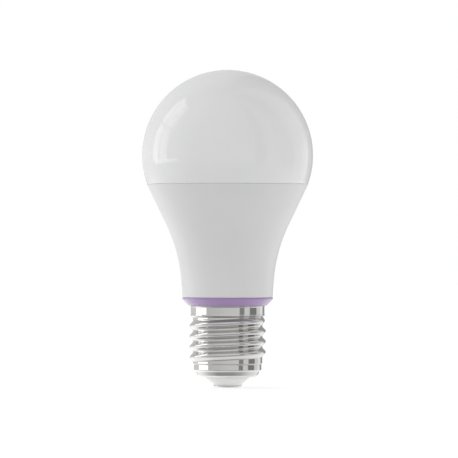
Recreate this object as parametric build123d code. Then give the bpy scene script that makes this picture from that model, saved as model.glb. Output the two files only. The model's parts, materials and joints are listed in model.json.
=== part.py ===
from build123d import *
import os
from math import cos, pi, sin

# A smart light bulb with an E27 screw cap, standing on its centre contact.
# Millimetres, +Z along the bulb's axis towards the dome, origin at the middle of the contact's face.

# ---------------------------------------------------------------- driving sizes: outside
GLOBE_RADIUS = 29.5
OVERALL_LENGTH = 109.6
GLOBE_CENTRE_Z = OVERALL_LENGTH - GLOBE_RADIUS
SEAM_Z = 70.2                # where the dome meets the housing
SEAM_RADIUS = 27.85
CONE_END_Z = 59.7            # the housing is a straight cone down to here
CONE_END_RADIUS = 22.8
WAIST_RADIUS = 15.6          # the housing's narrowest place, at the trim ring
WAIST_CURVE = [(20.2, 54.2), (18.15, 48.6), (16.8, 43.1), (16.0, 37.6)]   # radius and height
RING_TOP_Z = 31.1
RING_BOTTOM_Z = 28.3
RING_LAND = 0.5              # height of the ring's upright edge, above its bevel
RING_UPPER_RADIUS = 15.7
RING_LOWER_RADIUS = 13.5
DOME_WALL = 1.5
SPIGOT_OUTER_RADIUS = 25.3   # the dome's short tube that drops into the housing
SPIGOT_INNER_RADIUS = 23.9
SPIGOT_BOTTOM_Z = 68.7
SEALANT_RADIUS = 25.6
SEALANT_BOTTOM_Z = 68.8
HOUSING_WALL = 1.5
HOUSING_FLOOR_Z = 32.6

# ---------------------------------------------------------------- driving sizes: E27 cap
THREAD_PITCH = 25.4 / 7
THREAD_ROOT_RADIUS = 12.0
THREAD_CREST_RADIUS = 13.2
FIRST_CREST_Z = 10.5         # height of the lowest full crest, on the -X side
RUN_OUT_TURNS = 0.3          # the ridge sinks into the shell over this part of a turn
THREAD_START_Z = FIRST_CREST_Z - RUN_OUT_TURNS * THREAD_PITCH
THREAD_END_Z = 24.0
RIDGE_HALF_WIDTH = 1.6
SINK_DEPTH = 1.4             # how far the ridge's ends lie under the surface
SHEET = 0.3                  # thickness of the rolled shell
SKIRT_RADIUS = 12.75
SKIRT_BOTTOM_Z = 24.9
THREAD_TOP_Z = 24.3
SHELL_TOP_Z = 28.2
COLLAR_RADIUS = 11.7         # plain band below the thread
COLLAR_BOTTOM_Z = 6.2
COLLAR_TOP_Z = 8.0
FOOT_Z = 3.7                 # the shell's flat foot, round the insulator
FOOT_FLAT_RADIUS = 9.8
FOOT_WALL = [(10.4, 4.15), (11.0, 5.6)]    # radius and height of the foot's side
INSULATOR_RADIUS = 7.75
INSULATOR_TIP_RADIUS = 5.1
INSULATOR_TIP_Z = 1.4
FLANGE_RADIUS = 8.7          # the insulator's flange, held inside the shell's foot
FLANGE_BOTTOM_Z = 4.05
FLANGE_TOP_Z = 6.0
CONTACT_RADIUS = 4.8
CONTACT_FACE_RADIUS = 4.1
CONTACT_EDGE_Z = 0.5
CONTACT_THICKNESS = 0.8
SHANK_RADIUS = 1.3
SHANK_TOP_Z = 5.6
WIRE_HOLE_RADIUS = 0.55

# ---------------------------------------------------------------- driving sizes: neck and inner shells
NECK_RADIUS = 11.6
NECK_TOP_RADIUS = 12.35
NECK_BORE_RADIUS = 10.55
NECK_BOTTOM_Z = 10.4
NECK_STEP_Z = 25.1
WIRE_GROOVE = (11.1, 12.0, -0.35, 0.35, NECK_BOTTOM_Z, 18.0)    # limits of the neutral wire's groove
CUP_GAP = 0.1
CUP_WALL = 0.8
CUP_BOTTOM_Z = 36.0
CUP_TOP_Z = 67.6
SHELF_Z = 64.6
SHELF_INNER_RADIUS = 18.5
LINER_RADIUS = 13.35
LINER_BORE_RADIUS = 12.65
LINER_TOP_Z = 63.6
RIB_INNER_X = 11.0           # the guide ribs reach in to here

# ---------------------------------------------------------------- driving sizes: light engine
PLATE_RADIUS = 22.95
PLATE_Z = SHELF_Z + CUP_WALL
PLATE_THICKNESS = 1.2
PASTE_THICKNESS = 0.1
PASTE_WINDOW = (-9.0, 9.0, -5.0, 6.0)     # x and y limits of the part without paste, round the slots
LED_BOARD_RADIUS = 22.9
LED_BOARD_Z = PLATE_Z + PLATE_THICKNESS + PASTE_THICKNESS
LED_BOARD_THICKNESS = 1.2
LED_TOP_Z = LED_BOARD_Z + LED_BOARD_THICKNESS
SCREW_CIRCLE_RADIUS = 21.0
SCREW_COUNT = 3
SCREW_SHANK_RADIUS = 1.0
SCREW_HEAD_RADIUS = 1.75
SCREW_HEAD_TOP_RADIUS = 1.3
SCREW_HEAD_HEIGHT = 1.2
SCREW_TIP_Z = 63.7
SCREW_HOLE_RADIUS = 1.15
RECESS = (0.9, 0.2, 0.5)     # cross recess: half length, half width and height of its floor over the board
WHITE_PACKAGE = (1.5, 0.7, 1.2)           # half width, height and cup radius
COLOUR_PACKAGE = (2.1, 0.95, 1.75)
CUP_FLOOR = 0.2              # height of a package's cup floor over the board
DIE_CIRCLE_RADIUS = 0.8
DIE_HALF = 0.25
DIE_HEIGHT = 0.15
SENSOR = (-15.2, -13.6, -6.4, -5.6)       # x and y limits
SENSOR_HEIGHT = 0.6
SOCKET = (-7.0, 7.0, -3.1, -0.3)          # x and y limits
SOCKET_HEIGHT = 2.6
WHITE_RING_RADIUS = 17.2
WHITE_LEDS_EACH = 8
WHITE_STEP = 360 / (2 * WHITE_LEDS_EACH)
WHITE_START = WHITE_STEP / 2
RGB_RING_RADIUS = 11.8
RGB_LEDS = 6
RGB_START = 30.0
PIN_SLOT = (-6.2, 6.2, -2.7, -0.7)        # x and y limits of the slot for the board pins
RADIO_SLOT = (-5.6, 5.6, 2.2, 3.8)        # x and y limits of the slot for the radio board

# ---------------------------------------------------------------- driving sizes: driver and radio boards
BOARD_BACK_Y = -3.2
BOARD_FRONT_Y = -2.0
RIB_FACES = ((BOARD_BACK_Y - 1.0, BOARD_BACK_Y - 0.05), (BOARD_FRONT_Y + 0.05, BOARD_FRONT_Y + 1.0))
BOARD_BOTTOM_Z = 11.0
BOARD_SHOULDER_Z = 33.2
BOARD_TOP_Z = 61.0
BOARD_NECK_HALF_WIDTH = 9.5
BOARD_HALF_WIDTH = 12.0
LEAD_END_Y = -4.2            # how far the leads stick out at the back of the board
LEAD_RADIUS = 0.3
HOLE_CLEARANCE = 0.1
WIRE_HOLE_Z = 13.0
LIVE_X = -7.4
NEUTRAL_X = 7.4
RADIO_BACK_Y = 2.6
RADIO_FRONT_Y = 3.4
RADIO_BOTTOM_Z = 58.8
RADIO_TOP_Z = 74.0
RADIO_HALF_WIDTH = 5.0
RADIO_PIN_Z = 60.0
PIN_PITCH = 2.0
PIN_HALF = 0.32
PIN_Y = BOARD_FRONT_Y + PIN_HALF
PIN_BOTTOM_Z = 58.6
TRANSFORMER_Z = 51.5
TRANSFORMER_Y = 3.6
CHOKE_X = -6.2
CHOKE_Z = 41.9
CHOKE_RADIUS = 3.4

# ---------------------------------------------------------------- driving sizes: wires
CONDUCTOR_RADIUS = 0.25
COVER_RADIUS = 0.7
COVER_END_Y = -1.5           # the covers stop just short of the driver board
LIVE_BEND = 0.9
NEUTRAL_BEND = 0.6
GROOVE_X = 11.4              # the neutral wire's place between the neck and the shell
LIVE_ROUTE = [(0, 0, 1.4), (0, 0, 8.2), (LIVE_X, 0.8, 8.2), (LIVE_X, 0.8, WIRE_HOLE_Z),
              (LIVE_X, LEAD_END_Y, WIRE_HOLE_Z)]
NEUTRAL_ROUTE = [(NEUTRAL_X, LEAD_END_Y, WIRE_HOLE_Z), (NEUTRAL_X, 0, WIRE_HOLE_Z), (NEUTRAL_X, 0, 9.55),
                 (GROOVE_X, 0, 9.55), (GROOVE_X, 0, 17.0)]

# ---------------------------------------------------------------- driving sizes: parts on the driver board
# Blocks are given by their x, y and z limits, and round parts by radius, sleeve, start and end.
INPUT_CAN = (5.0, 0.12, (0, 3.2, 14.5), (0, 3.2, 29.5))
OUTPUT_CAN = (3.15, 0.12, (6.45, -1.6, 41.9), (6.45, 6.2, 41.9))
FILM_CAPACITOR = (-10.4, -0.5, -1.8, 5.6, 33.4, 38.4)
VARISTOR_RADIUS = 3.75
VARISTOR_FACES = ((6.0, 2.7, 34.4), (6.0, 2.7, 37.6))
FUSE_RADIUS = 1.6
FUSE_Y = -5.9
FUSE_ENDS_Z = (15.4, 25.4)
LEAD_BEND = 0.8
CHOKE_START_Y = -1.9
CHOKE_END_Y = 5.6
CHOKE_WAIST_RADIUS = 1.7
CHOKE_COIL_RADIUS = 3.1
CORE_HALVES = (6.5, 6.0)     # half width and half height of the transformer's core
CORE_HALF_DEPTH = 2.6
CORE_WINDOW = (1.6, 4.9, 4.4)             # inner and outer x, and half height, of each window
BOBBIN_HALF_HEIGHT = 4.3
BOBBIN_SLEEVE_HALF = 2.3
BOBBIN_FLANGE = (-4.8, 4.8, -1.5, 8.4)    # x and y limits
FLANGE_THICKNESS = 1.5
WINDING = (-4.6, 4.6, -1.0, 8.0)          # x and y limits
WINDING_CORNER = 1.8
SOLDER_HEIGHT = 0.7
SOLDER_RADII = (0.85, 0.42)

# Parts on the back of the board, as x, z, width, length and height.
BRIDGE_RECTIFIER = (5.9, 32.9, 4.7, 4.0, 2.4)
SWITCHING_CONTROLLER = (-7.4, 45.5, 3.9, 4.9, 1.6)
OUTPUT_DIODES = [(7.6, z, 2.6, 4.3, 2.1) for z in (47.0, 53.4)]
VOLTAGE_REGULATOR = (-7.4, 58.0, 4.5, 2.5, 1.5)
CHIP_RESISTORS = ([(-7.2 + 2.4 * index, 39.6, 1.25, 2.0, 0.5) for index in range(4)]
                  + [(-9.6, 50.0 + 2.3 * index, 2.0, 1.25, 0.5) for index in range(3)])
CHIP_CAPACITORS = ([(0.0, 44.0 - 2.2 * index, 2.0, 1.25, 0.9) for index in range(2)]
                   + [(3.4 + 2.4 * index, 58.0, 1.25, 2.0, 0.9) for index in range(3)])

# ---------------------------------------------------------------- driving sizes: parts on the radio board
RADIO_CHIP = (-2.0, 2.0, RADIO_FRONT_Y, RADIO_FRONT_Y + 0.85, 60.9, 64.2)
RADIO_CRYSTAL = (-1.6, 1.6, RADIO_BACK_Y - 0.8, RADIO_BACK_Y, 61.4, 63.9)
SHIELD_HALF_WIDTH = 3.6
SHIELD_DEPTH = 1.5
SHIELD_SHEET = 0.2
SHIELD_BOTTOM_Z = 60.6
SHIELD_TOP_Z = 64.6
ANTENNA_RUNS = 7
ANTENNA_STRIP = 0.4          # width of the copper strip
ANTENNA_THICKNESS = 0.1
ANTENNA_REACH = 3.8
ANTENNA_RISE = 0.75
ANTENNA_BOTTOM_Z = 68.4

# Leads that pass through the driver board, as (x, z) of each hole.
INPUT_CAPACITOR_LEADS = [(-2.5, 31.2), (2.5, 31.2)]
OUTPUT_CAPACITOR_LEADS = [(5.2, 41.9), (7.7, 41.9)]
FILM_CAPACITOR_LEADS = [(-9.2, 36.0), (-1.7, 36.0)]
VARISTOR_LEADS = [(3.5, 36.0), (8.5, 36.0)]
FUSE_LEADS = [(0.0, 13.6), (0.0, 27.4)]
CHOKE_LEADS = [(CHOKE_X - 2.5, CHOKE_Z), (CHOKE_X + 2.5, CHOKE_Z)]
TRANSFORMER_LEADS = [(x, TRANSFORMER_Z + side * 3.55) for side in (-1, 1) for x in (-3.6, -1.2, 1.2, 3.6)]
RADIO_LEADS = [((index - 2) * PIN_PITCH, RADIO_PIN_Z) for index in range(5)]
WIRE_LEADS = [(LIVE_X, WIRE_HOLE_Z), (NEUTRAL_X, WIRE_HOLE_Z)]
ALL_LEADS = (INPUT_CAPACITOR_LEADS + OUTPUT_CAPACITOR_LEADS + FILM_CAPACITOR_LEADS + VARISTOR_LEADS
             + FUSE_LEADS + CHOKE_LEADS + TRANSFORMER_LEADS + RADIO_LEADS + WIRE_LEADS)


# ---------------------------------------------------------------- shape helpers
def block(x0, x1, y0, y1, z0, z1):
    """A block given by its six limits."""
    return Pos((x0 + x1) / 2, (y0 + y1) / 2, (z0 + z1) / 2) * Box(x1 - x0, y1 - y0, z1 - z0)


def disc(radius, z0, z1):
    """A round plate or bar on the bulb's axis."""
    return Pos(0, 0, z0) * Cylinder(radius, z1 - z0, align=(Align.CENTER, Align.CENTER, Align.MIN))


def tube(outer_radius, inner_radius, z0, z1):
    """A plain tube on the bulb's axis."""
    return disc(outer_radius, z0, z1) - disc(inner_radius, z0, z1)


def rod(radius, start, end):
    """A round bar between two points."""
    axis = Vector(*end) - Vector(*start)
    return Solid.make_cylinder(radius, axis.length, Plane(origin=start, z_dir=axis))


def turned(outline):
    """A solid turned about the bulb's axis from a closed line in (radius, height)."""
    return revolve(Plane.XZ * make_face(outline), Axis.Z)


def around(shape, radius, count, start_angle=0.0):
    """Copies of a shape, evenly spaced on a circle and turned to face outwards."""
    step = 360 / count
    return [Rot(0, 0, start_angle + index * step) * Pos(radius, 0, 0) * shape for index in range(count)]


def lead(x, z, start_y):
    """A straight component lead through the driver board."""
    return rod(LEAD_RADIUS, (x, start_y, z), (x, LEAD_END_Y, z))


# ---------------------------------------------------------------- enclosure
def make_diffuser():
    """Opal dome: a spherical shell with a flat rim and a short spigot that drops into the housing."""
    inner_radius = GLOBE_RADIUS - DOME_WALL
    rim_top = SEAM_Z + DOME_WALL
    rim_radius = (GLOBE_RADIUS ** 2 - (GLOBE_CENTRE_Z - SEAM_Z) ** 2) ** 0.5
    inner_rim_radius = (inner_radius ** 2 - (GLOBE_CENTRE_Z - rim_top) ** 2) ** 0.5
    centre = GLOBE_CENTRE_Z
    outside = ThreePointArc((rim_radius, SEAM_Z), (GLOBE_RADIUS, centre), (0, OVERALL_LENGTH))
    inner_top = OVERALL_LENGTH - DOME_WALL
    inside = ThreePointArc((0, inner_top), (inner_radius, centre), (inner_rim_radius, rim_top))
    crown = Line((0, OVERALL_LENGTH), (0, inner_top))
    rim = Polyline((inner_rim_radius, rim_top), (SPIGOT_INNER_RADIUS, rim_top),
                   (SPIGOT_INNER_RADIUS, SPIGOT_BOTTOM_Z), (SPIGOT_OUTER_RADIUS, SPIGOT_BOTTOM_Z),
                   (SPIGOT_OUTER_RADIUS, SEAM_Z), (rim_radius, SEAM_Z))
    return turned(outside + crown + inside + rim)


def make_diffuser_sealant():
    """Silicone bead between the dome's spigot and the housing's mouth."""
    return tube(SEALANT_RADIUS, SPIGOT_OUTER_RADIUS, SEALANT_BOTTOM_Z, SEAM_Z)


def flared_body(inset, bottom, top):
    """The solid inside the housing's outline, moved in by inset and cut at two heights."""
    cone = Line((SEAM_RADIUS - inset, SEAM_Z), (CONE_END_RADIUS - inset, CONE_END_Z))
    cone_slope = (CONE_END_RADIUS - SEAM_RADIUS, CONE_END_Z - SEAM_Z)
    curve = [(CONE_END_RADIUS, CONE_END_Z), *WAIST_CURVE, (WAIST_RADIUS, RING_TOP_Z)]
    waist = Spline(*[(radius - inset, z) for radius, z in curve], tangents=(cone_slope, (0, -1)))
    closing = Polyline((WAIST_RADIUS - inset, RING_TOP_Z), (0, RING_TOP_Z), (0, SEAM_Z),
                       (SEAM_RADIUS - inset, SEAM_Z))
    return turned(cone + waist + closing) & disc(GLOBE_RADIUS, bottom, top)


def make_housing():
    """White plastic body: a flared shell above, and a hollow neck that fills the screw shell."""
    shell = flared_body(0, RING_TOP_Z, SEAM_Z) - flared_body(HOUSING_WALL, HOUSING_FLOOR_Z, SEAM_Z)
    neck = disc(NECK_TOP_RADIUS, NECK_STEP_Z, RING_TOP_Z) + disc(NECK_RADIUS, NECK_BOTTOM_Z, NECK_STEP_Z)
    bore = disc(NECK_BORE_RADIUS, NECK_BOTTOM_Z, HOUSING_FLOOR_Z)
    return shell + neck - bore - block(*WIRE_GROOVE)


def make_trim_ring():
    """Coloured ring between the housing and the cap, with a long bevel towards the cap."""
    bore = NECK_TOP_RADIUS + 0.05
    return turned(Polyline((bore, RING_BOTTOM_Z), (RING_LOWER_RADIUS, RING_BOTTOM_Z),
                           (RING_UPPER_RADIUS, RING_TOP_Z - RING_LAND), (RING_UPPER_RADIUS, RING_TOP_Z),
                           (bore, RING_TOP_Z), close=True))


def make_heat_sink_cup():
    """Spun aluminium cup that lines the housing, with an inward shelf for the spreader plate."""
    outer_inset = HOUSING_WALL + CUP_GAP
    wall = (flared_body(outer_inset, CUP_BOTTOM_Z, CUP_TOP_Z)
            - flared_body(outer_inset + CUP_WALL, CUP_BOTTOM_Z, CUP_TOP_Z))
    shelf = flared_body(outer_inset, SHELF_Z, PLATE_Z) - disc(SHELF_INNER_RADIUS, SHELF_Z, PLATE_Z)
    return wall + shelf - screw_holes(SCREW_SHANK_RADIUS, SHELF_Z, PLATE_Z)


def make_insulating_liner():
    """Plastic sleeve between the live circuit and the metal cup, with guide ribs for the board."""
    sleeve = tube(LINER_RADIUS, LINER_BORE_RADIUS, HOUSING_FLOOR_Z, LINER_TOP_Z)
    ribs = []
    for side in (-1, 1):
        x0, x1 = sorted((side * RIB_INNER_X, side * LINER_RADIUS))
        for y0, y1 in RIB_FACES:
            ribs.append(block(x0, x1, y0, y1, BOARD_SHOULDER_Z, LINER_TOP_Z))
    within = disc(LINER_BORE_RADIUS + 0.3, BOARD_SHOULDER_Z, LINER_TOP_Z)
    return sleeve + [rib & within for rib in ribs]


# ---------------------------------------------------------------- E27 cap
def shell_form(offset):
    """The turned form of the cap, without its thread, moved in by offset."""
    foot = [(0, FOOT_Z + offset), (FOOT_FLAT_RADIUS - offset, FOOT_Z + offset)]
    foot += [(radius - offset, z + offset) for radius, z in FOOT_WALL]
    collar = [(COLLAR_RADIUS - offset, COLLAR_BOTTOM_Z + offset), (COLLAR_RADIUS - offset, COLLAR_TOP_Z)]
    core = [(THREAD_ROOT_RADIUS - offset, COLLAR_TOP_Z + 0.3), (THREAD_ROOT_RADIUS - offset, THREAD_TOP_Z)]
    skirt = [(SKIRT_RADIUS - offset, SKIRT_BOTTOM_Z), (SKIRT_RADIUS - offset, SHELL_TOP_Z), (0, SHELL_TOP_Z)]
    return turned(Polyline(*foot, *collar, *core, *skirt, close=True))


def thread_ridge(crest_radius, half_width):
    """A right-handed rounded ridge on the cap, which sinks into the shell at both ends."""
    turns = (THREAD_END_Z - THREAD_START_Z) / THREAD_PITCH
    start_angle = pi + 2 * pi * (THREAD_START_Z - FIRST_CREST_Z) / THREAD_PITCH
    steps = round(turns * 16)
    points = []
    for step in range(steps + 1):
        turned_by = turns * step / steps
        from_end = min(turned_by, turns - turned_by, RUN_OUT_TURNS) / RUN_OUT_TURNS
        rise = from_end * from_end * (3 - 2 * from_end)
        radius = THREAD_ROOT_RADIUS - SINK_DEPTH * (1 - rise)
        angle = start_angle + 2 * pi * turned_by
        height = THREAD_START_Z + THREAD_PITCH * turned_by
        points.append((radius * cos(angle), radius * sin(angle), height))
    path = Spline(*points)
    depth = crest_radius - THREAD_ROOT_RADIUS
    crest = Spline((0, -half_width), (depth / 2, -half_width / 2), (depth, 0), (depth / 2, half_width / 2),
                   (0, half_width), tangents=((0.35, 1), (-0.35, 1)))
    root = -0.25
    embedded = Polyline((0, half_width), (root, half_width), (root, -half_width), (0, -half_width))
    start_x, start_y, _ = points[0]
    across = Plane(origin=points[0], x_dir=(start_x, start_y, 0), z_dir=(-start_y, start_x, 0))
    section = Face(Wire([crest, *embedded.edges()])).moved(across.location)
    axis = Wire([Line((0, 0, THREAD_START_Z), (0, 0, THREAD_END_Z))])
    return Solid.sweep(section, path, mode=axis)


def make_screw_shell():
    """Rolled E27 shell: thin sheet throughout, so the inside follows the thread as well."""
    outside = shell_form(0) + thread_ridge(THREAD_CREST_RADIUS, RIDGE_HALF_WIDTH)
    inside = shell_form(SHEET) + thread_ridge(THREAD_CREST_RADIUS - SHEET, RIDGE_HALF_WIDTH - SHEET)
    foot_hole = disc(INSULATOR_RADIUS, FOOT_Z, FOOT_Z + SHEET)
    return outside - inside - foot_hole


def make_base_insulator():
    """Plastic insulator: a flange held inside the shell's foot and a cone down to the contact."""
    waist = INSULATOR_RADIUS - 0.05
    cone = [(SHANK_RADIUS, CONTACT_THICKNESS), (INSULATOR_TIP_RADIUS, CONTACT_THICKNESS),
            (INSULATOR_TIP_RADIUS, INSULATOR_TIP_Z), (waist, FOOT_Z - 0.2)]
    flange = [(waist, FLANGE_BOTTOM_Z), (FLANGE_RADIUS, FLANGE_BOTTOM_Z), (FLANGE_RADIUS, FLANGE_TOP_Z),
              (SHANK_RADIUS, FLANGE_TOP_Z)]
    return turned(Polyline(*cone, *flange, close=True))


def make_centre_contact():
    """Centre contact: a bevelled disc with a tubular shank that grips the live wire."""
    disc_part = turned(Polyline((0, 0), (CONTACT_FACE_RADIUS, 0), (CONTACT_RADIUS, CONTACT_EDGE_Z),
                                (CONTACT_RADIUS, CONTACT_THICKNESS), (0, CONTACT_THICKNESS), close=True))
    shank = disc(SHANK_RADIUS, CONTACT_THICKNESS, SHANK_TOP_Z)
    wire_hole = disc(WIRE_HOLE_RADIUS, CONTACT_THICKNESS + 0.25, SHANK_TOP_Z)
    return disc_part + shank - wire_hole


def wire(radius, bend, points):
    """A round wire along straight runs joined by tangent arcs."""
    path = FilletPolyline(*points, radius=bend)
    start = path @ 0
    return sweep(Plane(origin=start, z_dir=path % 0) * Circle(radius), path=path)


def make_live_lead_conductor():
    """Copper core from the centre contact to the driver board."""
    return wire(CONDUCTOR_RADIUS, LIVE_BEND, LIVE_ROUTE)


def make_live_lead_insulation():
    """Plastic cover of the live wire, stripped at both ends."""
    covered = [(0, 0, SHANK_TOP_Z + 0.8), *LIVE_ROUTE[1:4], (LIVE_X, COVER_END_Y, WIRE_HOLE_Z)]
    return wire(COVER_RADIUS, LIVE_BEND, covered) - make_live_lead_conductor()


def make_neutral_lead_conductor():
    """Copper core from the board, round the neck's lower edge and up its groove against the shell."""
    return wire(CONDUCTOR_RADIUS, NEUTRAL_BEND, NEUTRAL_ROUTE)


def make_neutral_lead_insulation():
    """Plastic cover of the neutral wire, on the part inside the neck."""
    covered = [(NEUTRAL_X, COVER_END_Y, WIRE_HOLE_Z), NEUTRAL_ROUTE[1], (NEUTRAL_X, 0, NECK_BOTTOM_Z + 0.2)]
    core = wire(CONDUCTOR_RADIUS, NEUTRAL_BEND, NEUTRAL_ROUTE[:3])
    return wire(COVER_RADIUS, NEUTRAL_BEND, covered) - core


# ---------------------------------------------------------------- light engine
def slots(z0, z1):
    """The two slots that the pins and the radio board pass through."""
    return [block(*PIN_SLOT, z0, z1), block(*RADIO_SLOT, z0, z1)]


def screw_holes(radius, z0, z1):
    """Clearance holes for the board screws."""
    return around(rod(radius, (0, 0, z0), (0, 0, z1)), SCREW_CIRCLE_RADIUS, SCREW_COUNT)


def make_heat_spreader_plate():
    """Aluminium plate that carries the heat from the light engine to the cup."""
    top = PLATE_Z + PLATE_THICKNESS
    plate = disc(PLATE_RADIUS, PLATE_Z, top)
    return plate - slots(PLATE_Z, top) - screw_holes(SCREW_HOLE_RADIUS, PLATE_Z, top)


def make_thermal_paste():
    """Film of thermal paste between the spreader plate and the light-engine board."""
    bottom = PLATE_Z + PLATE_THICKNESS
    window = block(*PASTE_WINDOW, bottom, LED_BOARD_Z)
    film = disc(LED_BOARD_RADIUS - 0.8, bottom, LED_BOARD_Z)
    return film - window - screw_holes(2 * SCREW_SHANK_RADIUS, bottom, LED_BOARD_Z)


def make_led_board():
    """Round aluminium-core board of the light engine."""
    board = disc(LED_BOARD_RADIUS, LED_BOARD_Z, LED_TOP_Z)
    return board - slots(LED_BOARD_Z, LED_TOP_Z) - screw_holes(SCREW_HOLE_RADIUS, LED_BOARD_Z, LED_TOP_Z)


def make_led_board_screws():
    """Three self-tapping screws with pan heads and cross recesses."""
    on_board = Plane(origin=(0, 0, LED_TOP_Z))
    head = Solid.make_cone(SCREW_HEAD_RADIUS, SCREW_HEAD_TOP_RADIUS, SCREW_HEAD_HEIGHT, on_board)
    shank = rod(SCREW_SHANK_RADIUS, (0, 0, SCREW_TIP_Z), (0, 0, LED_TOP_Z))
    reach, half_width, floor = RECESS
    z0, z1 = LED_TOP_Z + floor, LED_TOP_Z + SCREW_HEAD_HEIGHT
    cross = [block(-reach, reach, -half_width, half_width, z0, z1),
             block(-half_width, half_width, -reach, reach, z0, z1)]
    return Compound(around(head + shank - cross, SCREW_CIRCLE_RADIUS, SCREW_COUNT))


def package(half, height, cup_radius):
    """An LED package: a square body with a round cup sunk into its top."""
    body = block(-half, half, -half, half, LED_TOP_Z, LED_TOP_Z + height)
    return body - disc(cup_radius, LED_TOP_Z + CUP_FLOOR, LED_TOP_Z + height)


def filling(height, cup_radius, bottom=CUP_FLOOR):
    """The clear or phosphor filling of a package's cup, just short of its brim."""
    return disc(cup_radius, LED_TOP_Z + bottom, LED_TOP_Z + height - 0.03)


def white_ring(shape, start_angle):
    """Every second place on the outer ring."""
    return Compound(around(shape, WHITE_RING_RADIUS, WHITE_LEDS_EACH, start_angle))


def colour_ring(shapes):
    """Each of the shapes at every place on the inner ring."""
    rings = [around(shape, RGB_RING_RADIUS, RGB_LEDS, RGB_START) for shape in shapes]
    return Compound([copy for ring in rings for copy in ring])


def make_warm_white_led_bodies():
    """Eight warm white packages."""
    return white_ring(package(*WHITE_PACKAGE), WHITE_START)


def make_warm_white_led_phosphors():
    """Their phosphor fillings."""
    return white_ring(filling(*WHITE_PACKAGE[1:]), WHITE_START)


def make_cool_white_led_bodies():
    """Eight cool white packages between the warm white ones."""
    return white_ring(package(*WHITE_PACKAGE), WHITE_START + WHITE_STEP)


def make_cool_white_led_phosphors():
    """Their phosphor fillings."""
    return white_ring(filling(*WHITE_PACKAGE[1:]), WHITE_START + WHITE_STEP)


def make_rgb_led_bodies():
    """Six colour packages on the inner ring."""
    return colour_ring([package(*COLOUR_PACKAGE)])


def make_rgb_led_dies():
    """A red, a green and a blue die in each colour package."""
    z0 = LED_TOP_Z + CUP_FLOOR
    dies = []
    for index in range(3):
        angle = 2 * pi * index / 3
        x, y = DIE_CIRCLE_RADIUS * cos(angle), DIE_CIRCLE_RADIUS * sin(angle)
        dies.append(block(x - DIE_HALF, x + DIE_HALF, y - DIE_HALF, y + DIE_HALF, z0, z0 + DIE_HEIGHT))
    return colour_ring(dies)


def make_rgb_led_lenses():
    """Clear fillings of the colour packages, over the dies."""
    return colour_ring([filling(*COLOUR_PACKAGE[1:], CUP_FLOOR + DIE_HEIGHT + 0.01)])


def make_temperature_sensor():
    """Chip thermistor on the light-engine board."""
    return block(*SENSOR, LED_TOP_Z, LED_TOP_Z + SENSOR_HEIGHT)


def pin_places():
    """x of each pin between the driver board and the light engine."""
    return [(index - 2.5) * PIN_PITCH for index in range(6)]


def make_led_socket():
    """Socket strip on the light-engine board, open for the six pins."""
    z0, z1 = LED_TOP_Z, LED_TOP_Z + SOCKET_HEIGHT
    half = PIN_HALF + 0.04
    y0, y1 = PIN_Y - half, PIN_Y + half
    return block(*SOCKET, z0, z1) - [block(x - half, x + half, y0, y1, z0, z1) for x in pin_places()]


def make_led_pins():
    """Six square pins that carry power from the driver board up to the socket."""
    y0, y1 = PIN_Y - PIN_HALF, PIN_Y + PIN_HALF
    z1 = LED_TOP_Z + SOCKET_HEIGHT - 0.4
    return Compound([block(x - PIN_HALF, x + PIN_HALF, y0, y1, PIN_BOTTOM_Z, z1) for x in pin_places()])


# ---------------------------------------------------------------- driver board
def make_driver_board():
    """Upright glass-fibre board, narrow in the neck and wide above it, drilled for the leads."""
    neck_part = block(-BOARD_NECK_HALF_WIDTH, BOARD_NECK_HALF_WIDTH, BOARD_BACK_Y, BOARD_FRONT_Y,
                      BOARD_BOTTOM_Z, BOARD_SHOULDER_Z)
    wide_part = block(-BOARD_HALF_WIDTH, BOARD_HALF_WIDTH, BOARD_BACK_Y, BOARD_FRONT_Y,
                      BOARD_SHOULDER_Z, BOARD_TOP_Z)
    radius = LEAD_RADIUS + HOLE_CLEARANCE
    holes = [rod(radius, (x, BOARD_BACK_Y - 1, z), (x, BOARD_FRONT_Y + 1, z)) for x, z in ALL_LEADS]
    return neck_part + wide_part - holes


def make_solder_joints():
    """A solder cone round each lead, on the back of the board."""
    joints = []
    for x, z in ALL_LEADS:
        across = Plane(origin=(x, BOARD_BACK_Y, z), z_dir=(0, -1, 0))
        cone = Solid.make_cone(*SOLDER_RADII, SOLDER_HEIGHT, across)
        joints.append(cone - rod(LEAD_RADIUS, (x, BOARD_BACK_Y + 1, z), (x, LEAD_END_Y - 1, z)))
    return Compound(joints)


def capacitor(radius, sleeve, start, end):
    """The can of an electrolytic capacitor and the plastic sleeve round it."""
    can = rod(radius - sleeve, start, end)
    return can, rod(radius, start, end) - can


def make_input_capacitor_can():
    """Mains-side electrolytic capacitor, lying in the neck."""
    return capacitor(*INPUT_CAN)[0]


def make_input_capacitor_sleeve():
    """Shrink sleeve of the mains-side capacitor."""
    return capacitor(*INPUT_CAN)[1]


def make_input_capacitor_leads():
    """Its two leads, bent back into the board."""
    _, y, top = INPUT_CAN[3]
    return Compound([wire(LEAD_RADIUS, LEAD_BEND, [(x, y, top), (x, y, z), (x, LEAD_END_Y, z)])
                     for x, z in INPUT_CAPACITOR_LEADS])


def make_output_capacitor_can():
    """Low-voltage electrolytic capacitor, standing on the board."""
    return capacitor(*OUTPUT_CAN)[0]


def make_output_capacitor_sleeve():
    """Shrink sleeve of the low-voltage capacitor."""
    return capacitor(*OUTPUT_CAN)[1]


def make_output_capacitor_leads():
    """Its two leads."""
    start_y = OUTPUT_CAN[2][1]
    return Compound([lead(x, z, start_y) for x, z in OUTPUT_CAPACITOR_LEADS])


def make_film_capacitor():
    """Moulded film capacitor for interference suppression."""
    return block(*FILM_CAPACITOR)


def make_film_capacitor_leads():
    """Its two leads."""
    start_y = FILM_CAPACITOR[2]
    return Compound([lead(x, z, start_y) for x, z in FILM_CAPACITOR_LEADS])


def make_varistor():
    """Coated surge-absorber disc."""
    return rod(VARISTOR_RADIUS, *VARISTOR_FACES)


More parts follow.
